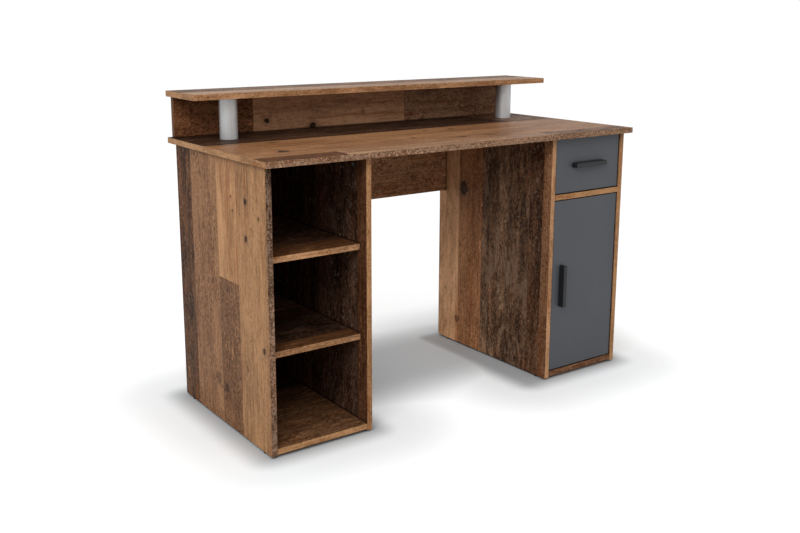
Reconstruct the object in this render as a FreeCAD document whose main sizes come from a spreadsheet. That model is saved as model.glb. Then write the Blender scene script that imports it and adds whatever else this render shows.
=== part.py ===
import FreeCAD
import Part
import Sketcher
import os

# Twin-pedestal computer desk with a raised monitor shelf.
# Row frame: +X to the sitter's right, +Y to the rear, +Z up, in millimetres.
# The origin is on the floor, under the centre of the desktop.

DIMENSIONS = {
    # Desktop and boards
    "desk_width": 1250.0,
    "desk_depth": 580.0,
    "desktop_height": 751.0,
    "board": 16.0,
    "edge_break": 0.4,
    # Raised shelf, its rear panel and its posts
    "monitor_clear": 113.0,
    "monitor_shelf_depth": 190.0,
    "upper_panel_side_inset": 10.0,
    "upper_panel_rear_inset": 10.0,
    "post_diameter": 50.0,
    "post_wall": 1.5,
    "post_side_inset": 125.0,
    "post_rear_inset": 130.0,
    # Pedestals
    "pedestal_width": 300.0,
    "side_overhang": 10.0,
    "front_overhang": 25.0,
    "rear_overhang": 30.0,
    "bottom_rise": 4.0,
    "shelf_setback": 28.0,
    "shelf_gap": 0.5,
    "drawer_opening": 167.0,
    "cabinet_shelf_height": 260.0,
    "cabinet_shelf_setback": 45.0,
    "back_thickness": 3.0,
    "back_inset": 1.0,
    "rail_height": 220.0,
    "rail_rear_inset": 16.0,
    # Glides under the pedestal sides
    "glide_height": 5.0,
    "glide_diameter": 14.0,
    "glide_inset": 45.0,
    # Pins under the loose shelves
    "pin_diameter": 5.0,
    "pin_grip": 8.0,
    "pin_reach": 8.0,
    "pin_inset": 50.0,
    "pin_clearance": 0.05,
    # Drawer front and door, let in between the sides
    "front_recess": 3.0,
    "front_gap": 3.0,
    # Bar handles, hollowed for the fingertips
    "handle_length": 126.0,
    "handle_width": 13.0,
    "handle_projection": 19.0,
    "handle_front": 4.0,
    "handle_wall": 2.5,
    "handle_end": 20.0,
    "handle_round": 1.0,
    "door_handle_inset": 37.0,
    # Drawer box
    "drawer_board": 12.0,
    "drawer_length": 400.0,
    "drawer_height": 110.0,
    "drawer_rise": 24.0,
    "drawer_bottom": 3.0,
    "groove_depth": 5.0,
    "groove_rise": 10.0,
    "groove_clearance": 0.1,
    # Roller runners, one pair of rails on each side of the drawer
    "runner_gap": 12.5,
    "runner_length": 400.0,
    "runner_setback": 2.0,
    "runner_sheet": 1.2,
    "runner_track": 10.6,
    "runner_lip": 4.0,
    "runner_hold": 8.0,
    "runner_web": 24.0,
    "hook_width": 10.3,
    "roller_diameter": 18.0,
    "roller_width": 6.5,
    "roller_start": 1.0,
    "roller_inset": 12.0,
    "axle_diameter": 5.0,
    "axle_clearance": 0.05,
    "axle_head_diameter": 8.0,
    "axle_head": 0.7,
    "rolling_gap": 0.05,
    "flange_gap": 0.5,
    "drawer_travel": 300.0,
    "stop_gap": 0.3,
    # Pivot pins that hang the door
    "pivot_inset": 14.0,
    "pivot_diameter": 5.0,
    "pivot_grip": 10.0,
    "pivot_reach": 8.0,
    "pivot_clearance": 0.05,
    "pivot_collar": 10.0,
    "pivot_play": 0.2,
    "bush_diameter": 8.0,
    "bush_depth": 10.0,
    # Magnetic catch at the door's free edge
    "catch_length": 40.0,
    "catch_depth": 13.0,
    "catch_height": 14.0,
    "catch_inset": 30.0,
    "strike_thickness": 1.5,
    "strike_length": 34.0,
    "strike_drop": 1.0,
    "strike_gap": 0.2,
}

FULL_TURN = 360.0
HALF_TURN = 180.0
OPEN_COMPARTMENTS = 3

# Share of its full cosine above which an edge counts as running along a direction
ALONG_SHARE = 0.999

# Planes of a body's origin by the row axis that they are square to, with the side their normal points to
PLANES = {"x": ("YZ_Plane", 1), "y": ("XZ_Plane", -1), "z": ("XY_Plane", 1)}
DIRECTIONS = {
    "x": FreeCAD.Vector(1, 0, 0),
    "y": FreeCAD.Vector(0, 1, 0),
    "z": FreeCAD.Vector(0, 0, 1),
}

document = FreeCAD.newDocument("computer_desk")
sheet = document.addObject("Spreadsheet::Sheet", "Dimensions")
for row, (alias, number) in enumerate(DIMENSIONS.items(), start=1):
    sheet.set("A%d" % row, alias)
    sheet.set("B%d" % row, str(number))
    sheet.setAlias("B%d" % row, alias)
document.recompute()

pieces = {}
pockets = []


class Size:
    """A length worked out from the sheet: its formula for the document, and its number."""

    def __init__(self, formula, number):
        self.formula = formula
        self.number = number

    def __add__(self, other):
        other = as_size(other)
        return Size("(%s + %s)" % (self.formula, other.formula), self.number + other.number)

    def __sub__(self, other):
        other = as_size(other)
        return Size("(%s - %s)" % (self.formula, other.formula), self.number - other.number)

    def __mul__(self, factor):
        return Size("(%s * %s)" % (self.formula, factor), self.number * factor)

    def __truediv__(self, factor):
        return Size("(%s / %s)" % (self.formula, factor), self.number / factor)

    def __neg__(self):
        return self * -1


def as_size(value):
    return value if isinstance(value, Size) else Size(str(value), value)


class Dimensions:
    """The sheet's cells by their names."""

    def __getattr__(self, alias):
        return Size("Dimensions." + alias, float(sheet.get(alias)))


d = Dimensions()


def bind(target, path, size):
    target.setExpression(path, as_size(size).formula)


def vector(x, y, z):
    return FreeCAD.Vector(as_size(x).number, as_size(y).number, as_size(z).number)


# Bodies, sketches and the features that the pieces share

def new_body(label, place=None):
    """A body that is a piece of the desk where it has a place, and otherwise a pattern for copies."""
    body = document.addObject("PartDesign::Body", label)
    body.Label = label
    if place:
        for axis, size in zip("xyz", place):
            bind(body, "Placement.Base." + axis, size)
        pieces[label] = body
    return body


def sketch_on(body, purpose, axis, position):
    """A sketch square to the axis, at the position along it."""
    role, normal = PLANES[axis]
    sketch = body.newObject("Sketcher::SketchObject", "%s_%s" % (body.Label, purpose))
    plane = next(feature for feature in body.Origin.OriginFeatures if feature.Role == role)
    sketch.AttachmentSupport = [(plane, "")]
    sketch.MapMode = "FlatFace"
    bind(sketch, "AttachmentOffset.Base.z", as_size(position) * normal)
    return sketch


def fix_point(sketch, geometry, point, across, up):
    """Ties a point of the sketch to the origin by its two distances."""
    origin = (-1, 1)
    for kind, size in (("DistanceX", as_size(across)), ("DistanceY", as_size(up))):
        if size.number == 0:
            on_axis = -2 if kind == "DistanceX" else -1
            sketch.addConstraint(Sketcher.Constraint("PointOnObject", geometry, point, on_axis))
            continue
        ends = origin + (geometry, point) if size.number > 0 else (geometry, point) + origin
        length = size if size.number > 0 else -size
        index = sketch.addConstraint(Sketcher.Constraint(kind, *ends, length.number))
        name = "%s_%d_%d" % (kind, geometry, point)
        sketch.renameConstraint(index, name)
        bind(sketch, "Constraints." + name, length)


def outline(sketch, corners):
    """A closed run of straight lines through the corners."""
    points = [vector(across, up, 0) for across, up in corners]
    first = sketch.GeometryCount
    for start, end in zip(points, points[1:] + points[:1]):
        sketch.addGeometry(Part.LineSegment(start, end))
    for index, (across, up) in enumerate(corners):
        following = first + (index + 1) % len(corners)
        sketch.addConstraint(Sketcher.Constraint("Coincident", first + index, 2, following, 1))
        fix_point(sketch, first + index, 1, across, up)


def rectangle(sketch, low, high):
    outline(sketch, [low, (high[0], low[1]), high, (low[0], high[1])])


def circle(sketch, centre, diameter):
    radius = (diameter / 2).number
    geometry = sketch.addGeometry(Part.Circle(vector(*centre, 0), DIRECTIONS["z"], radius))
    index = sketch.addConstraint(Sketcher.Constraint("Diameter", geometry, diameter.number))
    name = "Diameter_%d" % geometry
    sketch.renameConstraint(index, name)
    bind(sketch, "Constraints." + name, diameter)
    fix_point(sketch, geometry, 3, *centre)


def pad(body, sketch, axis, length):
    """Material from the sketch towards the axis's positive end."""
    feature = body.newObject("PartDesign::Pad", sketch.Name + "_pad")
    feature.Profile = sketch
    feature.Reversed = PLANES[axis][1] < 0
    bind(feature, "Length", length)
    return feature


def pocket(body, sketch, axis, into, depth):
    """A cut from the sketch along the axis, towards its positive end where into is 1."""
    feature = body.newObject("PartDesign::Pocket", sketch.Name + "_pocket")
    feature.Profile = sketch
    feature.Reversed = into == PLANES[axis][1]
    bind(feature, "Length", depth)
    pockets.append(feature)
    return feature


def bores(body, purpose, axis, position, into, centres, diameter, depth):
    """Round holes of one size in one face."""
    sketch = sketch_on(body, purpose, axis, position)
    for centre in centres:
        circle(sketch, centre, diameter)
    pocket(body, sketch, axis, into, depth)


def turned(body, purpose, corners):
    """A solid turned about the body's X axis from half of its section."""
    sketch = sketch_on(body, purpose, "y", 0)
    outline(sketch, corners)
    feature = body.newObject("PartDesign::Revolution", purpose + "_turn")
    feature.Profile = sketch
    feature.ReferenceAxis = (sketch, ["H_Axis"])
    feature.Angle = FULL_TURN
    return feature


def break_edges(body, base):
    """The small bevel that banded edges have all round."""
    feature = body.newObject("PartDesign::Chamfer", body.Label + "_edges")
    feature.Base = (base, [""])
    feature.UseAllEdges = True
    bind(feature, "Size", d.edge_break)


def panel(label, axis, corner, first, second, thickness=d.board):
    """A flat board whose thickness runs along the axis, from its lowest corner."""
    body = new_body(label, corner)
    sketch = sketch_on(body, "outline", axis, 0)
    rectangle(sketch, (0, 0), (first, second))
    break_edges(body, pad(body, sketch, axis, thickness))
    return body


def copies(label, pattern, placements):
    """A group of separate solids: the pattern's solid at each placement."""
    document.recompute()
    solids = []
    for placement in placements:
        solid = pattern.Shape.copy()
        solid.Placement = placement.multiply(solid.Placement)
        solids.append(solid)
    group = document.addObject("Part::Feature", label)
    group.Label = label
    group.Shape = Part.makeCompound(solids)
    group.Placement = FreeCAD.Placement()
    pieces[label] = group


def shifted(x, y, z, axis=None, angle=0):
    """A placement at a point, turned about an axis where one is given."""
    turn = FreeCAD.Rotation(DIRECTIONS[axis], angle) if axis else FreeCAD.Rotation()
    return FreeCAD.Placement(vector(x, y, z), turn)


# Heights and depths that several pieces share

desktop_underside = d.desktop_height - d.board
monitor_underside = d.desktop_height + d.monitor_clear
right_end = d.desk_width / 2
desk_rear = d.desk_depth / 2
desk_front = -desk_rear

outer_face = right_end - d.side_overhang
inner_face = outer_face - d.pedestal_width
side_front = desk_front + d.front_overhang
side_rear = desk_rear - d.rear_overhang - d.back_thickness
side_depth = side_rear - side_front
side_low = d.glide_height
side_height = desktop_underside - side_low

bay_width = d.pedestal_width - d.board * 2
bay_low = inner_face + d.board
bay_high = outer_face - d.board
left_bay_low = -bay_high

bottom_low = side_low + d.bottom_rise
bottom_top = bottom_low + d.board
divider_top = desktop_underside - d.drawer_opening
divider_low = divider_top - d.board
front_face = side_front + d.front_recess
front_rear = front_face + d.board


# Pedestal sides, with the bores for their shelf pins

glide_rows = (d.glide_inset, side_depth - d.glide_inset)
pin_bore = d.pin_diameter + d.pin_clearance * 2

shelves_between = d.board * (OPEN_COMPARTMENTS - 1)
compartment = (desktop_underside - bottom_top - shelves_between) / OPEN_COMPARTMENTS
lower_shelf_low = bottom_top + compartment
upper_shelf_low = lower_shelf_low + d.board + compartment
cabinet_shelf_low = bottom_top + d.cabinet_shelf_height
open_shelf_depth = side_depth - d.shelf_setback
cabinet_shelf_depth = side_depth - d.cabinet_shelf_setback


def pin_places(setback, shelf_low):
    """Places of two pins under a shelf, from the side's own front and lower edges."""
    height = shelf_low - side_low - d.pin_diameter / 2
    return [(setback + d.pin_inset, height), (side_depth - d.pin_inset, height)]


open_pins = pin_places(d.shelf_setback, lower_shelf_low) + pin_places(d.shelf_setback, upper_shelf_low)
cabinet_pins = pin_places(d.cabinet_shelf_setback, cabinet_shelf_low)

# Each side: its name, its lowest X, which way its room face looks, and the pins that it carries
SIDES = (
    ("left_outer_side", -outer_face, 1, open_pins),
    ("left_inner_side", -inner_face - d.board, -1, open_pins),
    ("right_inner_side", inner_face, 1, cabinet_pins),
    ("right_outer_side", bay_high, -1, cabinet_pins),
)


def pedestal_side(label, low_x, room, pins):
    body = panel(label, "x", (low_x, side_front, side_low), side_depth, side_height)
    room_face = d.board if room > 0 else as_size(0)
    bores(body, "pin_bores", "x", room_face, -room, pins, pin_bore, d.pin_grip)


for side in SIDES:
    pedestal_side(*side)


# Desktop, raised monitor shelf, the panel behind it and its two posts

def desktop():
    panel("desktop", "z", (-right_end, desk_front, desktop_underside), d.desk_width, d.desk_depth)


def monitor_shelf():
    corner = (-right_end, desk_rear - d.monitor_shelf_depth, monitor_underside)
    panel("monitor_shelf", "z", corner, d.desk_width, d.monitor_shelf_depth)


def rear_upper_panel():
    low_x = d.upper_panel_side_inset - right_end
    low_y = desk_rear - d.upper_panel_rear_inset - d.board
    width = d.desk_width - d.upper_panel_side_inset * 2
    panel("rear_upper_panel", "y", (low_x, low_y, d.desktop_height), width, d.monitor_clear)


def post_tubes():
    """The two round posts between the desktop and the raised shelf."""
    pattern = new_body("post_pattern")
    sketch = sketch_on(pattern, "ring", "z", 0)
    circle(sketch, (0, 0), d.post_diameter)
    circle(sketch, (0, 0), d.post_diameter - d.post_wall * 2)
    pad(pattern, sketch, "z", d.monitor_clear)
    post_x = right_end - d.post_side_inset
    post_y = desk_rear - d.post_rear_inset
    copies("post_tubes", pattern, [shifted(x, post_y, d.desktop_height) for x in (-post_x, post_x)])


desktop()
monitor_shelf()
rear_upper_panel()
post_tubes()


# Boards between the pedestal sides

def bay_panel(label, low_x, low_z):
    """A fixed board across a pedestal, flush with the front edges of its sides."""
    return panel(label, "z", (low_x, side_front, low_z), bay_width, side_depth)


def loose_shelf(label, low_x, low_z, setback, depth):
    """A shelf that lies on four pins, set back behind the front edges of the sides."""
    corner = (low_x + d.shelf_gap, side_front + setback, low_z)
    panel(label, "z", corner, bay_width - d.shelf_gap * 2, depth)


def back_panel(label, low_x):
    """A thin hardboard back nailed on the rear edges of the pedestal."""
    corner = (low_x + d.back_inset, side_rear, bottom_low + d.back_inset)
    height = desktop_underside - bottom_low - d.back_inset * 2
    panel(label, "y", corner, d.pedestal_width - d.back_inset * 2, height, d.back_thickness)


def pivot_bores(body, position, into):
    """The seat of a door pivot pin in a board above or below the door."""
    centre = (pivot_x - bay_low, pivot_y - side_front)
    diameter = d.pivot_diameter + d.pivot_clearance * 2
    bores(body, "pivot_bore", "z", position, into, [centre], diameter, d.pivot_grip)


pivot_x = bay_high - d.front_gap - d.pivot_inset
pivot_y = front_face + d.board / 2

bay_panel("left_bottom", left_bay_low, bottom_low)
right_bottom = bay_panel("right_bottom", bay_low, bottom_low)
divider = bay_panel("drawer_divider", bay_low, divider_low)
pivot_bores(right_bottom, d.board, -1)
pivot_bores(divider, 0, 1)
loose_shelf("left_lower_shelf", left_bay_low, lower_shelf_low, d.shelf_setback, open_shelf_depth)
loose_shelf("left_upper_shelf", left_bay_low, upper_shelf_low, d.shelf_setback, open_shelf_depth)
loose_shelf("cabinet_shelf", bay_low, cabinet_shelf_low, d.cabinet_shelf_setback, cabinet_shelf_depth)
back_panel("left_back_panel", -outer_face)
back_panel("right_back_panel", inner_face)

rail_corner = (-inner_face, side_rear - d.rail_rear_inset - d.board, desktop_underside - d.rail_height)
panel("modesty_rail", "y", rail_corner, inner_face * 2, d.rail_height)


# Small fittings of the carcase

def glides():
    """Plastic glides under the lower edges of the sides."""
    pattern = new_body("glide_pattern")
    sketch = sketch_on(pattern, "section", "z", 0)
    circle(sketch, (0, 0), d.glide_diameter)
    pad(pattern, sketch, "z", d.glide_height)
    places = []
    for label, low_x, room, pins in SIDES:
        for row in glide_rows:
            places.append(shifted(low_x + d.board / 2, side_front + row, 0))
    copies("glides", pattern, places)


def shelf_pins():
    """Pins half let into the sides, half under the loose shelves."""
    pattern = new_body("pin_pattern")
    sketch = sketch_on(pattern, "section", "x", 0)
    circle(sketch, (0, 0), d.pin_diameter)
    pad(pattern, sketch, "x", d.pin_grip + d.pin_reach)
    places = []
    for label, low_x, room, pins in SIDES:
        start = low_x + d.board - d.pin_grip if room > 0 else low_x - d.pin_reach
        for row, height in pins:
            places.append(shifted(start, side_front + row, side_low + height))
    copies("shelf_pins", pattern, places)


glides()
shelf_pins()


# Drawer front and door

front_width = bay_width - d.front_gap * 2
front_low_x = bay_low + d.front_gap
drawer_front_low = divider_top + d.front_gap
drawer_front_height = d.drawer_opening - d.front_gap * 2
door_low = bottom_top + d.front_gap
door_height = divider_low - bottom_top - d.front_gap * 2

drawer_handle_centre = (front_low_x + front_width / 2, drawer_front_low + drawer_front_height / 2)
door_handle_centre = (front_low_x + d.door_handle_inset, door_low + door_height / 2)

drawer_side_low = drawer_front_low + d.drawer_rise
groove_low = drawer_side_low + d.groove_rise
groove_height = d.drawer_bottom + d.groove_clearance * 2
box_low_x = bay_low + d.runner_gap
box_high_x = bay_high - d.runner_gap


def drawer_front():
    """Grooved across its back for the drawer's bottom."""
    corner = (front_low_x, front_face, drawer_front_low)
    body = panel("drawer_front", "y", corner, front_width, drawer_front_height)
    sketch = sketch_on(body, "groove", "y", d.board)
    low_x = box_low_x + d.drawer_board - d.groove_depth - front_low_x
    high_x = box_high_x - d.drawer_board + d.groove_depth - front_low_x
    low_z = groove_low - drawer_front_low
    rectangle(sketch, (low_x, low_z), (high_x, low_z + groove_height))
    pocket(body, sketch, "y", -1, d.groove_depth)


def door_panel():
    """Bored from both ends for the bushes on which it turns."""
    body = panel("door_panel", "y", (front_low_x, front_face, door_low), front_width, door_height)
    centre = (pivot_x - front_low_x, d.board / 2)
    diameter = d.bush_diameter + d.pivot_clearance * 2
    bores(body, "lower_bush_bore", "z", 0, 1, [centre], diameter, d.bush_depth)
    bores(body, "upper_bush_bore", "z", door_height, -1, [centre], diameter, d.bush_depth)


drawer_front()
door_panel()


# Bar handles

def front_edges(shape, direction, limit):
    """Names of the straight edges that run along a direction in front of the limit."""
    names = []
    for index, edge in enumerate(shape.Edges, start=1):
        run = edge.tangentAt(edge.FirstParameter)
        if abs(run.dot(direction)) > ALONG_SHARE and edge.CenterOfMass.y < limit:
            names.append("Edge%d" % index)
    return names


def handle(label, centre, upright):
    """A bar with solid ends and a finger hollow below, or on the right where it stands upright."""
    x, z = centre
    body = new_body(label, (x, front_face, z))
    half = d.handle_width / 2
    section = sketch_on(body, "section", "x", -d.handle_length / 2)
    rectangle(section, (-d.handle_projection, -half), (0, half))
    bar = pad(body, section, "x", d.handle_length)
    document.recompute()
    rounds = body.newObject("PartDesign::Fillet", label + "_rounds")
    rounds.Base = (bar, front_edges(bar.Shape, DIRECTIONS["x"], -(d.handle_projection / 2).number))
    bind(rounds, "Radius", d.handle_round)
    hollow = sketch_on(body, "hollow", "z", -half)
    reach = d.handle_length / 2 - d.handle_end
    rectangle(hollow, (-reach, d.handle_front - d.handle_projection), (reach, 0))
    pocket(body, hollow, "z", 1, d.handle_width - d.handle_wall)
    if upright:
        body.Placement.Rotation = FreeCAD.Rotation(DIRECTIONS["y"], -HALF_TURN / 2)


handle("drawer_handle", drawer_handle_centre, False)
handle("door_handle", door_handle_centre, True)


# Drawer box behind the front, with its bottom let into grooves

def drawer_side(side, low_x, groove_face, into):
    """A side whose lengthwise groove holds the bottom."""
    corner = (low_x, front_rear, drawer_side_low)
    body = panel("drawer_side_" + side, "x", corner, d.drawer_length, d.drawer_height, d.drawer_board)
    sketch = sketch_on(body, "groove", "x", groove_face)
    rectangle(sketch, (0, d.groove_rise), (d.drawer_length, d.groove_rise + groove_height))
    pocket(body, sketch, "x", into, d.groove_depth)


def drawer_back():
    """Stands on the bottom, between the sides."""
    width = box_high_x - box_low_x - d.drawer_board * 2
    low_z = groove_low + groove_height
    corner = (box_low_x + d.drawer_board, front_rear + d.drawer_length - d.drawer_board, low_z)
    height = drawer_side_low + d.drawer_height - low_z
    panel("drawer_back", "y", corner, width, height, d.drawer_board)


def drawer_bottom():
    """Reaches into the grooves of the sides and the front, and under the back."""
    clear = d.groove_clearance
    low_x = box_low_x + d.drawer_board - d.groove_depth + clear
    width = box_high_x - d.drawer_board + d.groove_depth - clear - low_x
    low_y = front_rear - d.groove_depth + clear
    depth = front_rear + d.drawer_length - low_y
    corner = (low_x, low_y, groove_low + clear)
    panel("drawer_bottom", "z", corner, width, depth, d.drawer_bottom)


drawer_side("left", box_low_x, d.drawer_board, -1)
drawer_side("right", box_high_x - d.drawer_board, 0, 1)
drawer_back()
drawer_bottom()


# Roller runners. Across the gap, places are measured from the cabinet side inwards, and the right
# hand set is the left hand set mirrored.

radius = d.roller_diameter / 2
hook_top = drawer_side_low - d.runner_sheet + d.runner_web
hook_low = hook_top - d.runner_sheet
rear_axle_z = hook_low - d.flange_gap - radius
front_axle_z = hook_low - d.rolling_gap - radius
track_top = rear_axle_z - radius - d.rolling_gap
track_low = track_top - d.runner_sheet
hold_low = hook_top + d.flange_gap
hold_top = hold_low + d.runner_sheet

rail_front = front_rear + d.runner_setback
rail_rear = rail_front + d.runner_length
drawer_rail_length = rail_rear - d.runner_sheet - d.stop_gap - front_rear
front_axle_y = rail_front + d.roller_inset
rear_axle_y = front_rear + drawer_rail_length - d.roller_inset
stop_rear = rear_axle_y - d.drawer_travel - radius - d.stop_gap
roller_near = d.runner_sheet + d.roller_start
roller_far = roller_near + d.roller_width
web_near = d.runner_gap - d.runner_sheet

# Each side's own zero across the gap, and the sign that leads from it towards the drawer
RUNNERS = (("left", bay_low, 1), ("right", bay_high, -1))


def cabinet_runner(side, zero_x, sign):
    """A channel screwed to the cabinet side: a lipped track below, a hold-down flange above."""
    body = new_body("cabinet_runner_" + side, (zero_x, rail_front, track_low))
    sheet_width = d.runner_sheet
    height = hold_top - track_low
    section = sketch_on(body, "section", "y", 0)
    track = [(d.runner_track, 0), (d.runner_track, d.runner_lip)]
    lip = [(d.runner_track - sheet_width, d.runner_lip), (d.runner_track - sheet_width, sheet_width)]
    web = [(sheet_width, sheet_width), (sheet_width, height - sheet_width)]
    flange = [(d.runner_hold, height - sheet_width), (d.runner_hold, height)]
    profile = [(0, 0)] + track + lip + web + flange + [(0, height)]
    outline(section, [(as_size(across) * sign, up) for across, up in profile])
    pad(body, section, "y", d.runner_length)
    tab = sketch_on(body, "end_tab", "y", d.runner_length - sheet_width)
    rectangle(tab, (sheet_width * sign, sheet_width), (d.runner_track * sign, height - sheet_width))
    pad(body, tab, "y", sheet_width)
    stop = sketch_on(body, "roller_stop", "y", stop_rear - sheet_width - rail_front)
    low = ((d.runner_sheet + d.roller_start) * sign, sheet_width)
    rectangle(stop, low, (roller_far * sign, sheet_width + radius + d.runner_lip))
    pad(body, stop, "y", sheet_width)
    place = (d.roller_inset, front_axle_z - track_low)
    bores(body, "axle_bore", "x", 0, sign, [place], d.axle_diameter, sheet_width)


def drawer_runner(side, zero_x, sign):
    """An angle under the drawer side, with a hook flange on top that rides on the front roller."""
    low_z = drawer_side_low - d.runner_sheet
    body = new_body("drawer_runner_" + side, (zero_x, front_rear, low_z))
    sheet_width = d.runner_sheet
    foot = d.runner_gap + d.drawer_board - d.groove_depth
    hook = d.runner_gap - d.hook_width
    profile = [
        (web_near, 0), (foot, 0), (foot, sheet_width), (d.runner_gap, sheet_width),
        (d.runner_gap, d.runner_web), (hook, d.runner_web),
        (hook, d.runner_web - sheet_width), (web_near, d.runner_web - sheet_width),
    ]
    section = sketch_on(body, "section", "y", 0)
    outline(section, [(across * sign, up) for across, up in profile])
    pad(body, section, "y", drawer_rail_length)
    place = (rear_axle_y - front_rear, rear_axle_z - low_z)
    bores(body, "axle_bore", "x", web_near * sign, sign, [place], d.axle_diameter, sheet_width)


def roller(label, place):
    """A plastic roller that turns on its axle."""
    body = new_body(label, place)
    half = d.roller_width / 2
    bore = d.axle_diameter / 2 + d.axle_clearance
    turned(body, label, [(-half, bore), (half, bore), (half, radius), (-half, radius)])


def axle_pattern(label, shank):
    """A stub axle along X from its web at zero, with a head that keeps the roller on."""
    pattern = new_body(label)
    pin = d.axle_diameter / 2
    head = d.axle_head_diameter / 2
    corners = [(0, 0), (0, pin), (shank, pin), (shank, head), (shank + d.axle_head, head)]
    corners.append((shank + d.axle_head, 0))
    turned(pattern, label, corners)
    return pattern


def axles(label, shank, y, z, web, toward_drawer):
    """Both sides' stub axles: from the web at its place across the gap, towards the roller."""
    places = []
    for side, zero_x, sign in RUNNERS:
        heading = sign if toward_drawer else -sign
        angle = 0 if heading > 0 else HALF_TURN
        places.append(shifted(zero_x + as_size(web) * sign, y, z, "z", angle))
    copies(label, axle_pattern(label + "_pattern", shank), places)


for side, zero_x, sign in RUNNERS:
    cabinet_runner(side, zero_x, sign)
    drawer_runner(side, zero_x, sign)
    roller_x = zero_x + (roller_near + d.roller_width / 2) * sign
    roller("cabinet_roller_" + side, (roller_x, front_axle_y, front_axle_z))
    roller("drawer_roller_" + side, (roller_x, rear_axle_y, rear_axle_z))

axles("cabinet_roller_axles", roller_far + d.flange_gap / 2, front_axle_y, front_axle_z, 0, True)
drawer_shank = d.runner_gap - roller_near + d.axle_clearance
axles("drawer_roller_axles", drawer_shank, rear_axle_y, rear_axle_z, d.runner_gap, False)


# Door pivots and catch

def door_pivot_pins():
    """Collared pins above and below the door."""
    pattern = new_body("pivot_pattern")
    pin = d.pivot_diameter / 2
    collar = d.pivot_collar / 2
    shoulder = d.front_gap - d.pivot_play
    tip = d.front_gap + d.pivot_reach
    corners = [(-d.pivot_grip, 0), (-d.pivot_grip, pin), (0, pin), (0, collar)]
    corners += [(shoulder, collar), (shoulder, pin), (tip, pin), (tip, 0)]
    turned(pattern, "pivot", corners)
    upward = FreeCAD.Rotation(DIRECTIONS["x"], DIRECTIONS["z"])
    downward = FreeCAD.Rotation(DIRECTIONS["x"], -DIRECTIONS["z"])
    places = [
        FreeCAD.Placement(vector(pivot_x, pivot_y, bottom_top), upward),
        FreeCAD.Placement(vector(pivot_x, pivot_y, divider_low), downward),
    ]
    copies("door_pivot_pins", pattern, places)


def door_bushes():
    """Plastic bushes in the door's two ends, in which the pins turn."""
    pattern = new_body("bush_pattern")
    sketch = sketch_on(pattern, "ring", "z", 0)
    circle(sketch, (0, 0), d.bush_diameter)
    circle(sketch, (0, 0), d.pivot_diameter + d.pivot_clearance * 2)
    pad(pattern, sketch, "z", d.bush_depth)
    heights = (door_low, door_low + door_height - d.bush_depth)
    copies("door_bushes", pattern, [shifted(pivot_x, pivot_y, z) for z in heights])


def door_catch():
    """A magnet block under the divider and its strike plate on the door."""
    low_x = front_low_x + d.catch_inset
    strike_x = low_x + (d.catch_length - d.strike_length) / 2
    strike_low = divider_low - d.catch_height
    strike_height = door_low + door_height - d.strike_drop - strike_low
    strike_corner = (strike_x, front_rear, strike_low)
    panel("catch_strike", "y", strike_corner, d.strike_length, strike_height, d.strike_thickness)
    catch_corner = (low_x, front_rear + d.strike_thickness + d.strike_gap, strike_low)
    panel("door_catch", "y", catch_corner, d.catch_length, d.catch_height, d.catch_depth)


door_pivot_pins()
door_bushes()
door_catch()


# Checks and files

def check_document():
    document.recompute()
    for item in document.Objects:
        if "Invalid" in item.State or "Error" in item.State:
            raise RuntimeError("%s failed: %s" % (item.Name, item.State))
    for feature in pockets:
        if feature.Shape.Volume >= feature.BaseFeature.Shape.Volume:
            raise RuntimeError("%s cuts nothing" % feature.Name)
    for label, piece in pieces.items():
        if piece.Shape.isNull() or not piece.Shape.isValid() or not piece.Shape.Solids:
            raise RuntimeError("%s has no valid solid" % label)


check_document()
os.makedirs("parts", exist_ok=True)
for label, piece in pieces.items():
    piece.Shape.exportStep("parts/%s.step" % label)
print("%d pieces written" % len(pieces))
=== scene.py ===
import math

import bmesh
import bpy
from mathutils import Matrix, Vector


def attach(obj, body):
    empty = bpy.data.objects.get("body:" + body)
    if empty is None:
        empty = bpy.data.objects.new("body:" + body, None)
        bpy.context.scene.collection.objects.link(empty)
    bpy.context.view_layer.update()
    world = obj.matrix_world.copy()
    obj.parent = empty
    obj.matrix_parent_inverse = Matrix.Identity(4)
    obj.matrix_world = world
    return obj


# Computer desk: materials, small fittings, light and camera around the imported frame.
# Everything is in metres in the row frame: +X to the sitter's right, +Y to the rear, +Z up.

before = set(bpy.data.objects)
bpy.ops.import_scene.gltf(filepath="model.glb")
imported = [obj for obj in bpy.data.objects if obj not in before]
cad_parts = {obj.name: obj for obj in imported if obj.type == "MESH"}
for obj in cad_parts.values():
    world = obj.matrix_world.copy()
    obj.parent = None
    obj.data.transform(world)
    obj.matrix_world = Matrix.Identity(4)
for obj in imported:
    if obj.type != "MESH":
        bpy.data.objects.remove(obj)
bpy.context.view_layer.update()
AXES = "xyz"
WHITE = (1, 1, 1, 1)


def box(node):
    """The low and the high corner of a node, to the micrometre."""
    corners = list(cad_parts[node].bound_box)
    low = [round(min(corner[axis] for corner in corners), 6) for axis in range(3)]
    high = [round(max(corner[axis] for corner in corners), 6) for axis in range(3)]
    return low, high


def middle(node, axis):
    low, high = box(node)
    return (low[axis] + high[axis]) / 2


def linear(colour):
    """Linear RGBA from a colour written in 0 to 255 screen values."""
    parts = [value / 255.0 for value in colour]
    parts = [p / 12.92 if p <= 0.04045 else ((p + 0.055) / 1.055) ** 2.4 for p in parts]
    return (*parts, 1.0)


# Node building

# On a Mix node: a data type, the first of its two inputs, and its output
COLOURS = ("RGBA", 6, 2)
VECTORS = ("VECTOR", 4, 1)


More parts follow.
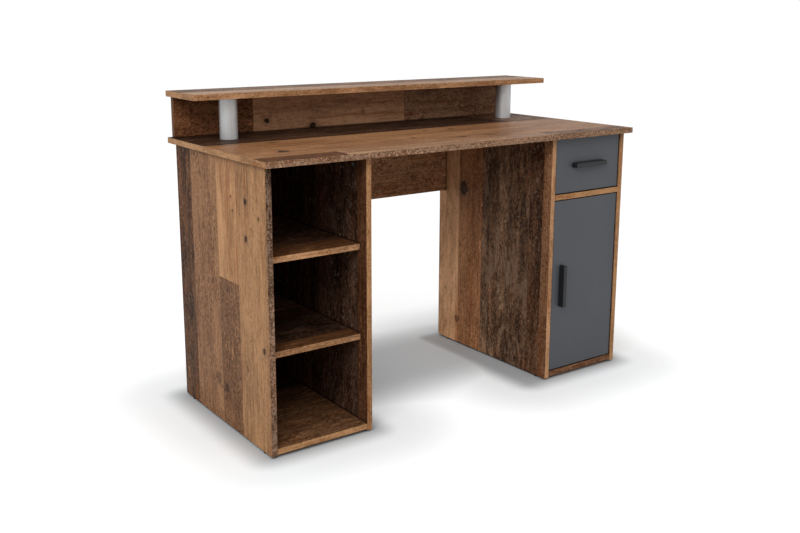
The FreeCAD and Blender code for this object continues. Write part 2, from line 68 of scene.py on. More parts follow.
class Graph:
    """Adds nodes to one tree. An input is a number, a tuple or another node's output."""

    def __init__(self, tree):
        self.tree = tree

    def add(self, kind, inputs=(), **settings):
        node = self.tree.nodes.new(kind)
        for key, value in settings.items():
            setattr(node, key, value)
        for key, value in dict(inputs).items():
            self.put(node.inputs[key], value)
        return node

    def put(self, socket, value):
        if isinstance(value, bpy.types.NodeSocket):
            self.tree.links.new(value, socket)
        else:
            socket.default_value = value

    def math(self, operation, *values, clamp=False):
        node = self.add("ShaderNodeMath", enumerate(values), operation=operation, use_clamp=clamp)
        return node.outputs[0]

    def times(self, first, *others):
        """The product of all the values."""
        for value in others:
            first = self.math("MULTIPLY", first, value)
        return first

    def rest(self, share):
        """What is left of one."""
        return self.math("SUBTRACT", 1.0, share)

    def added(self, total, *terms):
        """The total with each term's value, times its weight, added to it."""
        for value, weight in terms:
            total = self.math("MULTIPLY_ADD", value, weight, total)
        return total

    def greatest(self, first, *others):
        for value in others:
            first = self.math("MAXIMUM", first, value)
        return first

    def vector(self, operation, *values):
        node = self.add("ShaderNodeVectorMath", enumerate(values), operation=operation)
        return node.outputs["Value" if operation == "LENGTH" else "Vector"]

    def combine(self, x, y, z):
        return self.add("ShaderNodeCombineXYZ", enumerate((x, y, z))).outputs[0]

    def split(self, vector):
        return self.add("ShaderNodeSeparateXYZ", {0: vector}).outputs

    def scaled(self, vector, x, y, z):
        return self.vector("MULTIPLY", vector, (x, y, z))

    def noise(self, vector, detail=3.0, roughness=0.5, distortion=0.0):
        inputs = {"Vector": vector, "Scale": 1.0, "Detail": detail, "Roughness": roughness,
                  "Distortion": distortion}
        return self.add("ShaderNodeTexNoise", inputs).outputs[0]

    def even_noise(self, position, cycles, detail, roughness=0.5, distortion=0.0):
        """Noise with as many cycles a metre in every direction."""
        return self.noise(self.scaled(position, cycles, cycles, cycles), detail, roughness, distortion)

    def smooth(self, value, low, high, start=0.0, end=1.0):
        """A soft step from start, where the value is low, to end, where it is high."""
        inputs = {0: value, 1: low, 2: high, 3: start, 4: end}
        return self.add("ShaderNodeMapRange", inputs, interpolation_type="SMOOTHSTEP").outputs[0]

    def mixed(self, sockets, factor, a, b, **settings):
        kind, first, result = sockets
        inputs = {0: factor, first: a, first + 1: b}
        return self.add("ShaderNodeMix", inputs, data_type=kind, **settings).outputs[result]

    def mix(self, factor, a, b, blend="MIX"):
        return self.mixed(COLOURS, factor, a, b, blend_type=blend)

    def choose(self, factor, a, b):
        return self.mixed(VECTORS, factor, a, b)

    def shaded(self, colour, share):
        """The colour times a share."""
        return self.mix(1.0, colour, self.combine(share, share, share), "MULTIPLY")

    def ramp(self, factor, stops):
        """Two or more bands of colour. stops: (where each band starts, from 0 to 1, its colour)."""
        node = self.add("ShaderNodeValToRGB", {0: factor})
        ramp = node.color_ramp
        ramp.interpolation = "CONSTANT"
        for index, (place, colour) in enumerate(stops):
            element = ramp.elements[index] if index < 2 else ramp.elements.new(place)
            element.position = place
            element.color = colour
        return node.outputs[0]


def new_material(name, **fixed):
    """A node material with its shader, and the values that are the same all over it."""
    material = bpy.data.materials.new(name)
    material.use_nodes = True
    tree = material.node_tree
    shader = tree.nodes["Principled BSDF"]
    for key, value in fixed.items():
        shader.inputs[key.replace("_", " ")].default_value = value
    return material, Graph(tree), shader


def relief(graph, shader, height, distance, strength):
    """Bump of the given depth in metres."""
    bump = graph.add("ShaderNodeBump", {"Height": height, "Distance": distance, "Strength": strength})
    graph.put(shader.inputs["Normal"], bump.outputs[0])


def coordinates(graph):
    """Each point's place, "Object", and the way it faces, "Normal". Both move with the piece."""
    return graph.add("ShaderNodeTexCoord").outputs


# Painted shade: how far the ambient occlusion reaches and how many rays it takes, darkening the colour in
# gaps, corners and under parts
PAINTED_SHADE_REACH = 0.008
PAINTED_SHADE_SAMPLES = 6


def with_painted_shade(graph, colour):
    """The colour with painted shade: darkened where another surface lies close in front of it."""
    near = graph.add("ShaderNodeAmbientOcclusion", {"Distance": PAINTED_SHADE_REACH}, samples=PAINTED_SHADE_SAMPLES)
    return graph.shaded(colour, graph.smooth(near.outputs["AO"], 0.42, 0.88, 0.03, 1.0))


# Old wood: one node group that turns a plank's colour and age into grain, patches, flecks and knots

RINGS_A_METRE = 62.0
RING_DRIFT = 9.0

# What the wood's layers multiply their plank's colour by
TINTS = {
    "late ring": (0.51, 0.44, 0.39),
    "early ring": (1.27, 1.29, 1.33),
    "dull wood": (0.60, 0.60, 0.61),
    "pale wood": (1.32, 1.33, 1.36),
    "resin": (0.66, 0.42, 0.28),
    "black skin": (0.24, 0.20, 0.17),
    "brown skin": (0.90, 0.87, 0.84),
    "grey skin": (1.90, 1.95, 2.00),
    "bleached skin": (1.60, 1.74, 1.92),
    "bleached wood": (1.45, 1.58, 1.75),
    "worn fibres": (2.6, 2.9, 3.3),
    "fleck": (0.26, 0.19, 0.14),
    "light fleck": (1.95, 1.98, 2.00),
    "saw mark": (0.30, 0.25, 0.22),
}
# What two of them multiply the skin's own colour by
SKIN_TINTS = {
    "red": (1.36, 0.86, 0.64),
    "crackle": (0.35, 0.32, 0.30),
}
# Colours that are the same on every plank
MARKS = {
    "chip": (0.300, 0.245, 0.200, 1),
    "worm hole": (0.022, 0.014, 0.010, 1),
    "scratch": (0.040, 0.024, 0.015, 1),
    "crack": (0.030, 0.020, 0.014, 1),
    "knot": (0.110, 0.050, 0.024, 1),
    "knot rim": (0.024, 0.012, 0.006, 1),
    "plank joint": (0.028, 0.020, 0.014, 1),
}


class OldWood(Graph):
    """The inside of the group. Its input Grain is a place in metres, x across the grain and y along it."""

    def __init__(self, tree):
        super().__init__(tree)
        self.given = self.add("NodeGroupInput").outputs
        self.grain, self.base, self.age = [self.given[name] for name in ("Grain", "Base", "Age")]
        self.wide = self.layer(15, 1.7, 1, 3, 0.55, 0.4)
        self.streak = self.layer(66, 5.0, 1, 5, 0.66, 0.4)
        self.fibre = self.layer(400, 20, 1, 3, 0.60)
        self.blotch = self.layer(14, 5.5, 1, 5, 0.62, 0.5)
        self.mottle = self.layer(170, 85, 1, 4, 0.76)

    def layer(self, x, y, z, detail, roughness, distortion=0.0):
        """Noise with x cycles a metre across the grain, y along it and z from slice to slice."""
        return self.noise(self.scaled(self.grain, x, y, z), detail, roughness, distortion)

    def patches(self, x, y, z, detail, roughness, distortion, low, high, start=0.0, end=1.0):
        """Patches of a layer: start where its noise is low, end where it is high."""
        return self.smooth(self.layer(x, y, z, detail, roughness, distortion), low, high, start, end)

    def hairlines(self, value, core, edge):
        """Thin lines where a layer crosses its middle."""
        return self.smooth(self.math("ABSOLUTE", self.centred(value)), core, edge, 1.0, 0.0)

    def centred(self, value):
        return self.math("SUBTRACT", value, 0.5)

    def tinted(self, name):
        return self.mix(1.0, self.base, (*TINTS[name], 1), "MULTIPLY")

    def skin_tinted(self, name, skin):
        return self.mix(1.0, skin, (*SKIN_TINTS[name], 1), "MULTIPLY")

    def rings(self):
        across = self.split(self.grain)[0]
        phase = self.added(0.0, (across, RINGS_A_METRE), (self.wide, RING_DRIFT))
        phase = self.math("ADD", phase, self.given["Bend"])
        wave = self.math("SINE", self.times(phase, 2 * math.pi))
        wave = self.math("POWER", self.math("MULTIPLY_ADD", wave, 0.5, 0.5), 3.0)
        return self.times(wave, self.smooth(self.blotch, 0.40, 0.60))

    def fresh(self, ring):
        """Fresh wood from its late rings to its early ones, with dull and pale areas and resin streaks."""
        mottled = self.math("ADD", self.age, 0.62)
        tone = self.added(0.0, (self.streak, 0.50), (self.wide, 0.72), (self.fibre, 0.60),
                          (self.mottle, mottled), (self.age, -0.60), (ring, -0.15))
        spread = self.math("MULTIPLY_ADD", self.age, 1.3, 0.9)
        tone = self.math("MULTIPLY_ADD", self.math("SUBTRACT", tone, 1.175), spread, 1.29)
        tone = self.smooth(tone, 0.96, 1.62)
        colour = self.mix(tone, self.tinted("late ring"), self.tinted("early ring"))
        dull = self.smooth(self.age, 0.02, 0.30, 0.20, 0.55)
        dull = self.times(self.smooth(self.blotch, 0.52, 0.64), dull)
        colour = self.mix(dull, colour, self.tinted("dull wood"))
        pale = self.smooth(self.blotch, 0.35, 0.47, 0.34, 0.0)
        colour = self.mix(pale, colour, self.tinted("pale wood"))
        resin = self.times(self.patches(50, 1.9, 1.6, 4, 0.58, 0.3, 0.575, 0.66), 0.70)
        return self.mix(resin, colour, self.tinted("resin"))

    def skin(self, bleach):
        """Weathered skin in streaks from near black through brown to worn grey."""
        streak = self.added(self.layer(38, 8.5, 1, 7, 0.74, 0.6), (self.centred(self.mottle), 0.70))
        brown = self.smooth(streak, 0.40, 0.50)
        colour = self.mix(brown, self.tinted("black skin"), self.tinted("brown skin"))
        colour = self.mix(self.smooth(streak, 0.52, 0.63), colour, self.tinted("grey skin"))
        band = self.patches(26, 1.3, 2.1, 3, 0.55, 0.3, 0.40, 0.60, 0.62, 1.32)
        colour = self.shaded(colour, band)
        red = self.patches(24, 3.0, 1.7, 5, 0.62, 0.4, 0.50, 0.60)
        red = self.times(red, self.smooth(self.age, 0.62, 0.95, 0.06, 0.42))
        colour = self.mix(red, colour, self.skin_tinted("red", colour))
        colour = self.mix(bleach, colour, self.tinted("bleached skin"))
        crackle = self.patches(90, 520, 1, 3, 0.62, 0.4, 0.34, 0.47, 1.0, 0.0)
        crackle = self.times(crackle, self.smooth(self.blotch, 0.42, 0.56), 0.55)
        return self.mix(crackle, colour, self.skin_tinted("crackle", colour))

    def aged(self, colour):
        """The colour under its skin, which spreads with age, and under worn fibres and chips."""
        bleach = self.times(self.patches(17, 6, 2.3, 5, 0.66, 0.6, 0.53, 0.63), 0.60)
        reach = self.added(self.age, (self.centred(self.blotch), 1.6), (self.centred(self.mottle), 0.9),
                           (self.centred(self.streak), 0.9))
        stain = self.smooth(reach, 0.48, 0.66)
        colour = self.mix(stain, colour, self.skin(bleach))
        bleach = self.times(bleach, self.smooth(self.age, 0.20, 0.45))
        colour = self.mix(bleach, colour, self.tinted("bleached wood"))
        worn = self.patches(250, 170, 1.3, 4, 0.76, 0.5, 0.575, 0.635)
        worn = self.times(worn, self.smooth(self.blotch, 0.42, 0.58, 1.0, 0.25),
                          self.smooth(self.age, 0.30, 0.90, 0.0, 0.55))
        colour = self.mix(worn, colour, self.tinted("worn fibres"))
        chip = self.patches(190, 66, 3.1, 3, 0.66, 0.9, 0.615, 0.655)
        chip = self.times(chip, self.smooth(self.age, 0.40, 0.95, 0.0, 0.85))
        return self.mix(chip, colour, MARKS["chip"]), stain

    def flecked(self, colour):
        """The colour with dark flecks in clusters and light ones, as many as the input Flecks says."""
        amount = self.given["Flecks"]
        fleck = self.patches(185, 84, 1, 3, 0.66, 0.4, 0.545, 0.590)
        cluster = self.patches(13, 7, 1, 4, 0.62, 0.4, 0.38, 0.56, 0.25, 1.0)
        fleck = self.times(fleck, self.math("MULTIPLY", cluster, amount, clamp=True))
        colour = self.mix(self.times(fleck, 0.86), colour, self.tinted("fleck"))
        light = self.patches(200, 120, 2, 3, 0.64, 0.3, 0.575, 0.630)
        light = self.times(light, self.math("MULTIPLY", amount, 0.45, clamp=True))
        return self.mix(light, colour, self.tinted("light fleck")), fleck

    def marked(self, colour):
        """The colour with worm holes, scratches across the grain, cracks along it and saw marks."""
        vector = self.scaled(self.grain, 34, 14, 1)
        cells = self.add("ShaderNodeTexVoronoi", {"Vector": vector, "Scale": 1.0})
        kept = self.math("GREATER_THAN", self.split(cells.outputs["Color"])[0], 0.80)
        hole = self.times(self.smooth(cells.outputs["Distance"], 0.035, 0.075, 1.0, 0.0), kept)
        colour = self.mix(self.times(hole, 0.85), colour, MARKS["worm hole"])
        scratch = self.hairlines(self.layer(24, 10, 1, 2, 0.45, 0.9), 0.002, 0.009)
        scratch = self.times(scratch, self.patches(19, 8, 3, 3, 0.60, 0.0, 0.56, 0.62))
        colour = self.mix(self.times(scratch, 0.50), colour, MARKS["scratch"])
        crack = self.hairlines(self.layer(130, 2.6, 1, 3, 0.55, 0.35), 0.0, 0.010)
        crack = self.times(crack, self.patches(40, 4, 2, 3, 0.50, 0.0, 0.54, 0.64))
        colour = self.mix(self.times(crack, 0.60), colour, MARKS["crack"])
        saw = self.patches(9, 380, 1, 3, 0.6, 0.0, 0.55, 0.70)
        saw = self.times(saw, self.smooth(self.wide, 0.45, 0.60, 0.0, 0.16))
        return self.mix(saw, colour, self.tinted("saw mark")), self.greatest(crack, scratch, hole)

    def knotted(self, colour):
        """The colour with its knots, darkest at the rim, and the joints between planks."""
        knot = self.given["Knot"]
        knot_colour = self.mix(self.smooth(knot, 0.45, 0.95), MARKS["knot"], MARKS["knot rim"])
        knot = self.times(knot, self.smooth(self.mottle, 0.34, 0.52, 0.70, 1.0))
        colour = self.mix(self.smooth(knot, 0.0, 0.80), colour, knot_colour)
        return self.mix(self.times(self.given["Seam"], 0.45), colour, MARKS["plank joint"]), knot

    def build(self):
        ring = self.rings()
        colour, stain = self.aged(self.fresh(ring))
        colour, fleck = self.flecked(colour)
        colour, groove = self.marked(colour)
        colour, knot = self.knotted(colour)
        rough = self.added(0.46, (self.fibre, -0.16), (stain, 0.08), (fleck, 0.06))
        height = self.added(0.0, (self.fibre, 0.30), (self.mottle, 0.25), (ring, -0.08), (stain, -0.12),
                            (fleck, -0.35), (groove, -0.50), (knot, -0.20), (self.given["Seam"], -0.60))
        self.add("NodeGroupOutput", {"Color": colour, "Roughness": rough, "Height": height})


def wood_group():
    tree = bpy.data.node_groups.new("old_wood", "ShaderNodeTree")
    inputs = {"Grain": "Vector", "Base": "Color", "Age": "Float", "Flecks": "Float", "Bend": "Float",
              "Knot": "Float", "Seam": "Float"}
    outputs = {"Color": "Color", "Roughness": "Float", "Height": "Float"}
    for way, sockets in (("INPUT", inputs), ("OUTPUT", outputs)):
        for name, kind in sockets.items():
            tree.interface.new_socket(name, in_out=way, socket_type="NodeSocket" + kind)
    OldWood(tree).build()
    return tree


OLD_WOOD = wood_group()

# A plank's screen colour, its age and how flecked it is
STYLES = {
    "honey": ((188, 141, 98), 0.06, 0.50),
    "patched": ((188, 142, 102), 0.22, 0.75),
    "amber": ((182, 137, 96), 0.10, 0.35),
    "blond": ((198, 151, 110), 0.06, 0.50),
    "pale": ((193, 148, 107), 0.08, 0.45),
    "clear": ((204, 154, 109), 0.02, 0.12),
    # Brighter than its plank's own tone: painted light for the right inner side's rear plank, which more
    # light reaches
    "fair_with_painted_light": ((236, 181, 135), 0.04, 0.25),
    "satin": ((164, 119, 82), 0.12, 0.35),
    "tan": ((176, 136, 101), 0.24, 0.50),
    "brown": ((164, 120, 84), 0.14, 1.05),
    "russet": ((182, 128, 88), 0.16, 0.90),
    "oak": ((193, 144, 107), 0.12, 0.35),
    "cedar": ((142, 100, 70), 0.34, 1.20),
    "sorrel": ((149, 110, 83), 0.34, 1.20),
    "hazel": ((134, 95, 68), 0.34, 1.20),
    "umber": ((122, 86, 58), 0.50, 1.10),
    "ember": ((115, 81, 55), 0.50, 1.10),
    "scarred": ((138, 99, 68), 0.38, 1.30),
    "walnut": ((102, 68, 42), 0.44, 0.80),
    "teak": ((109, 68, 34), 0.46, 0.90),
    "oxide": ((128, 84, 55), 0.34, 1.40),
    "chestnut": ((96, 63, 42), 0.42, 1.20),
    "smoke": ((119, 90, 68), 0.85, 0.80),
    "bark": ((102, 68, 43), 1.00, 1.00),
    "loam": ((89, 60, 41), 1.00, 1.00),
    "ashen": ((118, 86, 61), 0.85, 0.80),
    "rail": ((170, 124, 89), 0.34, 1.20),
    "husk": ((113, 84, 63), 0.95, 1.00),
    "night": ((73, 51, 38), 0.95, 0.90),
    "dusk": ((65, 44, 31), 0.80, 0.50),
    "rough": ((155, 122, 97), 0.32, 3.00),
    "crust": ((124, 97, 78), 0.84, 3.00),
}
# A plank's shift grows by this from one plank to the next, and starts again at 1
SHIFT_STEP = 0.37
# How far a full shift moves a plank through the grain, across, along and between its slices
SHIFT_MOVES = (3.7, 11.3, 5.0)
# How far a seed of 1 moves a board through the grain, across and along
SEED_MOVES = (0.61, 1.7)
# The strip of the grain that banded edges are cut from: where it starts, and how much it is squeezed
STRIP_START = (0.013, 3.1, 7.7)
STRIP_SQUEEZE = (1.3, 2.2)

# Planks: how far their edges stray, and the half width of a joint, where it is darkest and where it ends
WAVER = 0.0008
JOINT_CORE = 0.0003
JOINT_EDGE = 0.0013
# The colour ramp of a board runs on this far past the start of the last plank, and ends at this share
RAMP_MARGIN = 0.001
RAMP_END = 0.99
# Planks are numbered from 1, cells and banded edges from these
FIRST_CELL = 11
FIRST_EDGE = 21

# Knots: their width as a share of their length along the grain, and how ragged their outline is
KNOT_STRETCH = 0.9
KNOT_RAGGED = 0.70

# A face looks along an axis where its normal has more than this on it
FACING = 0.5
WOOD_RELIEF = 0.0004


def style_colour(style):
    return linear(STYLES[style][0])


def style_traits(style, number):
    """Age, flecks and a shift that sets each plank's grain apart."""
    age, flecks = STYLES[style][1:]
    return (age, flecks, (number * SHIFT_STEP) % 1.0, 1.0)


def between(g, value, low, high):
    return g.times(g.math("GREATER_THAN", value, low), g.math("LESS_THAN", value, high))


def joint(g, value, place):
    """The dark line of a joint between two planks."""
    away = g.math("ABSOLUTE", g.math("SUBTRACT", value, place))
    return g.smooth(away, JOINT_CORE, JOINT_EDGE, 1.0, 0.0)


def plank_layout(g, position, across, along, planks, cells, seed):
    """Colour, traits and joints of a board's planks and of the cells that lie over them."""
    waver = g.math("MULTIPLY_ADD", g.even_noise(position, 60, 2), 2 * WAVER, -WAVER)
    across = g.math("ADD", across, waver)
    along = g.math("ADD", along, waver)
    low = planks[0][0]
    high = planks[-1][0] + RAMP_MARGIN
    place = g.add("ShaderNodeMapRange", {0: across, 1: low, 2: high, 3: 0.0, 4: RAMP_END}).outputs[0]
    colour_stops, trait_stops = [], []
    for number, (start, style) in enumerate(planks, 1):
        stop = (start - low) / (high - low) * RAMP_END
        colour_stops.append((stop, style_colour(style)))
        trait_stops.append((stop, style_traits(style, number + seed)))
    colour = g.ramp(place, colour_stops)
    traits = g.ramp(place, trait_stops)
    seam = 0.0
    for start, style in planks[1:]:
        seam = g.greatest(seam, joint(g, across, start))
    for number, (near, far, start, end, style) in enumerate(cells, FIRST_CELL):
        in_width = between(g, across, near, far)
        inside = g.times(in_width, between(g, along, start, end))
        colour = g.mix(inside, colour, style_colour(style))
        traits = g.mix(inside, traits, style_traits(style, number + seed))
        for place in (start, end):
            seam = g.greatest(seam, g.times(joint(g, along, place), in_width))
    return colour, traits, seam


def knot_layout(g, position, across, along, knots):
    """How dark a board's knots are, and how much its rings bend round them."""
    ragged = g.math("MULTIPLY_ADD", g.even_noise(position, 90, 5, 0.62), 2 * KNOT_RAGGED, -KNOT_RAGGED)
    knot, bend = 0.0, 0.0
    for side_place, grain_place, radius, dark in knots:
        x = g.math("MULTIPLY_ADD", across, 1 / radius, -side_place / radius)
        y = g.math("MULTIPLY_ADD", along, KNOT_STRETCH / radius, -grain_place * KNOT_STRETCH / radius)
        far = g.vector("LENGTH", g.combine(x, y, 0.0))
        distance = g.math("ADD", far, ragged)
        rim = g.smooth(distance, 0.60, 1.25, dark, 0.0)
        heart = g.smooth(distance, 0.10, 0.75, 0.16, 0.0)
        halo = g.smooth(distance, 0.8, 2.8, dark * 0.36, 0.0)
        knot = g.greatest(knot, g.greatest(g.times(rim, g.rest(heart)), halo))
        bend = g.math("ADD", bend, g.smooth(far, 0.0, 3.6, 1.1, 0.0))
    return knot, bend


def wood(name, planks, cells=(), knots=(), thick="z", grain="x", front="amber", edge=None, seed=0.0,
         gloss=0.04):
    """A board of planks, whose places are metres in the row frame. planks: (start across the board, style);
    cells, which are planks that end along the board: (low and high end across, low and high end along,
    style); knots: (across, along, radius, darkness). front and edge are the styles of the banded edges."""
    material, g, shader = new_material("wood_" + name, Specular_IOR_Level=gloss)
    here = coordinates(g)
    place = dict(zip(AXES, g.split(here["Object"])))
    facing = dict(zip(AXES, g.split(here["Normal"])))
    side = next(axis for axis in AXES if axis not in (thick, grain))
    across, along = place[side], place[grain]
    colour, traits, seam = plank_layout(g, here["Object"], across, along, planks, cells, seed)
    knot, bend = knot_layout(g, here["Object"], across, along, knots)
    age, flecks, shift = g.split(traits)

    # Banded edges have their own strip of decor, which runs along the edge
    on_face = g.math("GREATER_THAN", g.math("ABSOLUTE", facing[thick]), FACING)
    on_edge = g.rest(on_face)
    at_side = g.math("GREATER_THAN", g.math("ABSOLUTE", facing[side]), FACING)
    run = g.math("ADD", g.times(along, at_side), g.times(across, g.rest(at_side)))
    edge_grain = g.combine(g.math("MULTIPLY_ADD", place[thick], STRIP_SQUEEZE[0], STRIP_START[0] + seed),
                           g.math("MULTIPLY_ADD", run, STRIP_SQUEEZE[1], STRIP_START[1]), STRIP_START[2])
    face_grain = g.combine(
        g.math("MULTIPLY_ADD", shift, SHIFT_MOVES[0], g.math("ADD", across, seed * SEED_MOVES[0])),
        g.math("MULTIPLY_ADD", shift, SHIFT_MOVES[1], g.math("ADD", along, seed * SEED_MOVES[1])),
        g.times(shift, SHIFT_MOVES[2]))
    is_front = g.math("LESS_THAN", facing["y"], -FACING)
    other = edge or front
    edge_colour = g.mix(is_front, style_colour(other), style_colour(front))
    edge_traits = g.mix(is_front, style_traits(other, FIRST_EDGE), style_traits(front, FIRST_EDGE + 1))
    edge_age, edge_flecks = g.split(edge_traits)[:2]
    values = {
        "Grain": g.choose(on_face, edge_grain, face_grain),
        "Base": g.mix(on_face, edge_colour, colour),
        "Age": g.math("ADD", g.times(age, on_face), g.times(edge_age, on_edge)),
        "Flecks": g.math("ADD", g.times(flecks, on_face), g.times(edge_flecks, on_edge)),
        "Bend": g.times(bend, on_face),
        "Knot": g.times(knot, on_face),
        "Seam": g.times(seam, on_face),
    }
    old = g.add("ShaderNodeGroup", values, node_tree=OLD_WOOD).outputs
    # Painted shade darkens the wood's colour in gaps and corners
    g.put(shader.inputs["Base Color"], with_painted_shade(g, old["Color"]))
    g.put(shader.inputs["Roughness"], old["Roughness"])
    relief(g, shader, old["Height"], WOOD_RELIEF, 0.6)
    return material


def dress(node, material):
    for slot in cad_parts[node].material_slots:
        slot.link = "OBJECT"
        slot.material = material


BOARDS = {
    "desktop": dict(
        seed=0.1, gloss=0.025, front="rough", edge="pale",
        # The dark back plank, "dusk", is partly its own weathered tone and partly painted shade under the
        # monitor shelf; the "smoke" cell at its right end is lighter where that shade ends
        planks=[(-0.290, "tan"), (-0.225, "satin"), (0.050, "dusk")],
        cells=[(-0.290, -0.225, -0.625, -0.395, "teak"), (-0.290, -0.225, 0.295, 0.625, "ashen"),
               (0.050, 0.290, 0.430, 0.625, "smoke")],
        knots=[(-0.150, -0.503, 0.016, 0.9), (-0.115, -0.075, 0.010, 0.9), (-0.170, 0.060, 0.011, 0.9),
               (-0.172, 0.155, 0.010, 0.8), (0.000, 0.150, 0.009, 0.8), (0.000, 0.055, 0.008, 0.7),
               (-0.090, 0.425, 0.017, 0.4), (0.020, -0.440, 0.012, 0.6)]),
    "monitor_shelf": dict(
        seed=0.2, gloss=0.03, front="patched", edge="pale",
        planks=[(0.100, "tan"), (0.186, "smoke")],
        knots=[(0.130, -0.300, 0.012, 0.8), (0.150, 0.240, 0.011, 0.7)]),
    "rear_upper_panel": dict(
        thick="y", seed=0.3, front="umber",
        planks=[(0.740, "oak"), (0.880, "oak")],
        cells=[(0.730, 0.890, -0.640, -0.372, "oxide"), (0.730, 0.890, 0.170, 0.640, "sorrel")],
        knots=[(0.781, -0.327, 0.008, 0.95), (0.757, -0.173, 0.011, 0.95), (0.790, 0.010, 0.007, 0.5)]),
    "left_outer_side": dict(
        thick="x", grain="z", seed=0.4, front="crust", edge="umber",
        planks=[(-0.265, "amber"), (-0.108, "clear"), (0.005, "brown"), (0.164, "bark")],
        cells=[(-0.108, 0.005, 0.000, 0.413, "scarred")],
        knots=[(-0.158, 0.637, 0.0085, 0.95), (-0.155, 0.543, 0.0085, 0.85), (-0.226, 0.605, 0.005, 0.7),
               (-0.238, 0.275, 0.008, 0.8), (-0.145, 0.200, 0.010, 0.45), (0.050, 0.390, 0.010, 0.40),
               (0.032, 0.125, 0.019, 0.55), (0.082, 0.220, 0.012, 0.4), (-0.078, 0.638, 0.003, 0.9),
               (-0.085, 0.603, 0.003, 0.9), (-0.018, 0.110, 0.014, 0.8), (-0.040, 0.390, 0.012, 0.5)]),
    "left_inner_side": dict(
        thick="x", grain="z", seed=0.5, front="honey", edge="umber",
        planks=[(-0.265, "chestnut"), (-0.222, "night"), (-0.040, "dusk"), (0.110, "night")],
        knots=[(-0.130, 0.620, 0.012, 0.8), (0.080, 0.330, 0.012, 0.8)]),
    "right_inner_side": dict(
        thick="x", grain="z", seed=0.6, front="blond", edge="umber",
        # Its rear plank is its own tone brightened as painted light
        planks=[(-0.265, "cedar"), (-0.233, "loam"), (-0.178, "husk"), (-0.100, "smoke"), (0.039, "russet"),
                (0.154, "fair_with_painted_light")],
        knots=[(0.132, 0.535, 0.024, 0.8), (0.159, 0.085, 0.013, 0.6), (0.100, 0.300, 0.008, 0.5),
               (0.124, 0.512, 0.042, 0.30)]),
    "right_outer_side": dict(
        thick="x", grain="z", seed=0.7, front="honey", edge="umber",
        planks=[(-0.265, "amber"), (-0.090, "brown"), (0.080, "umber")],
        cells=[(-0.090, 0.080, 0.300, 0.760, "tan")],
        knots=[(-0.180, 0.520, 0.010, 0.9), (0.010, 0.180, 0.013, 0.7), (0.150, 0.430, 0.012, 0.8)]),
    "left_bottom": dict(
        seed=0.8, front="honey",
        planks=[(-0.265, "ember"), (-0.100, "ember"), (0.080, "dusk")],
        knots=[(-0.150, -0.420, 0.010, 0.7)]),
    "left_lower_shelf": dict(
        seed=0.9, front="patched",
        planks=[(-0.240, "walnut"), (-0.185, "dusk"), (0.060, "umber")]),
    "left_upper_shelf": dict(
        seed=1.0, front="patched",
        planks=[(-0.240, "walnut"), (-0.150, "dusk"), (0.060, "ember")]),
    "right_bottom": dict(
        seed=1.1, front="hazel",
        planks=[(-0.265, "brown"), (-0.060, "umber"), (0.120, "amber")]),
    "drawer_divider": dict(
        seed=1.2, front="honey",
        planks=[(-0.265, "amber"), (-0.020, "umber"), (0.140, "brown")]),
    "cabinet_shelf": dict(
        seed=1.3, front="amber",
        planks=[(-0.225, "umber"), (-0.060, "amber"), (0.100, "brown")]),
    "modesty_rail": dict(
        thick="y", seed=1.4, front="cedar",
        # Its dark top strip, "dusk", is partly a dark plank and partly painted shade under the desktop
        planks=[(0.515, "rail"), (0.700, "dusk")],
        knots=[(0.600, -0.090, 0.010, 0.6), (0.570, 0.180, 0.012, 0.5)]),
}

for board, layout in BOARDS.items():
    dress(board, wood(board, **layout))


# Plain materials

def graphite():
    material, g, shader = new_material("graphite_board", Specular_IOR_Level=0.30)
    position = coordinates(g)["Object"]
    dark, light, scuffed = linear((78, 80, 85)), linear((87, 89, 94)), linear((118, 119, 122))
    stipple = g.even_noise(position, 2600, 2, 0.6)
    cloud = g.even_noise(position, 7, 3, 0.55)
    strokes = g.noise(g.scaled(position, 900, 900, 16), 3, 0.6)
    tone = g.added(0.0, (cloud, 0.45), (strokes, 0.30), (stipple, 0.25))
    colour = g.mix(g.smooth(tone, 0.30, 0.70), dark, light)
    scuff = g.smooth(g.noise(g.scaled(position, 150, 150, 40), 7, 0.8), 0.63, 0.72)
    colour = g.mix(g.times(scuff, 0.10), colour, scuffed)
    # Painted shade darkens the fronts' colour in gaps, corners and around the handles
    g.put(shader.inputs["Base Color"], with_painted_shade(g, colour))
    g.put(shader.inputs["Roughness"], g.added(0.42, (cloud, 0.14)))
    relief(g, shader, g.math("ADD", stipple, strokes), 0.00006, 0.5)
    return material


PRINTED_PLANKS_A_METRE = 9.0
# The mark of the mesh, in radians a metre
WEAVE = 3600.0


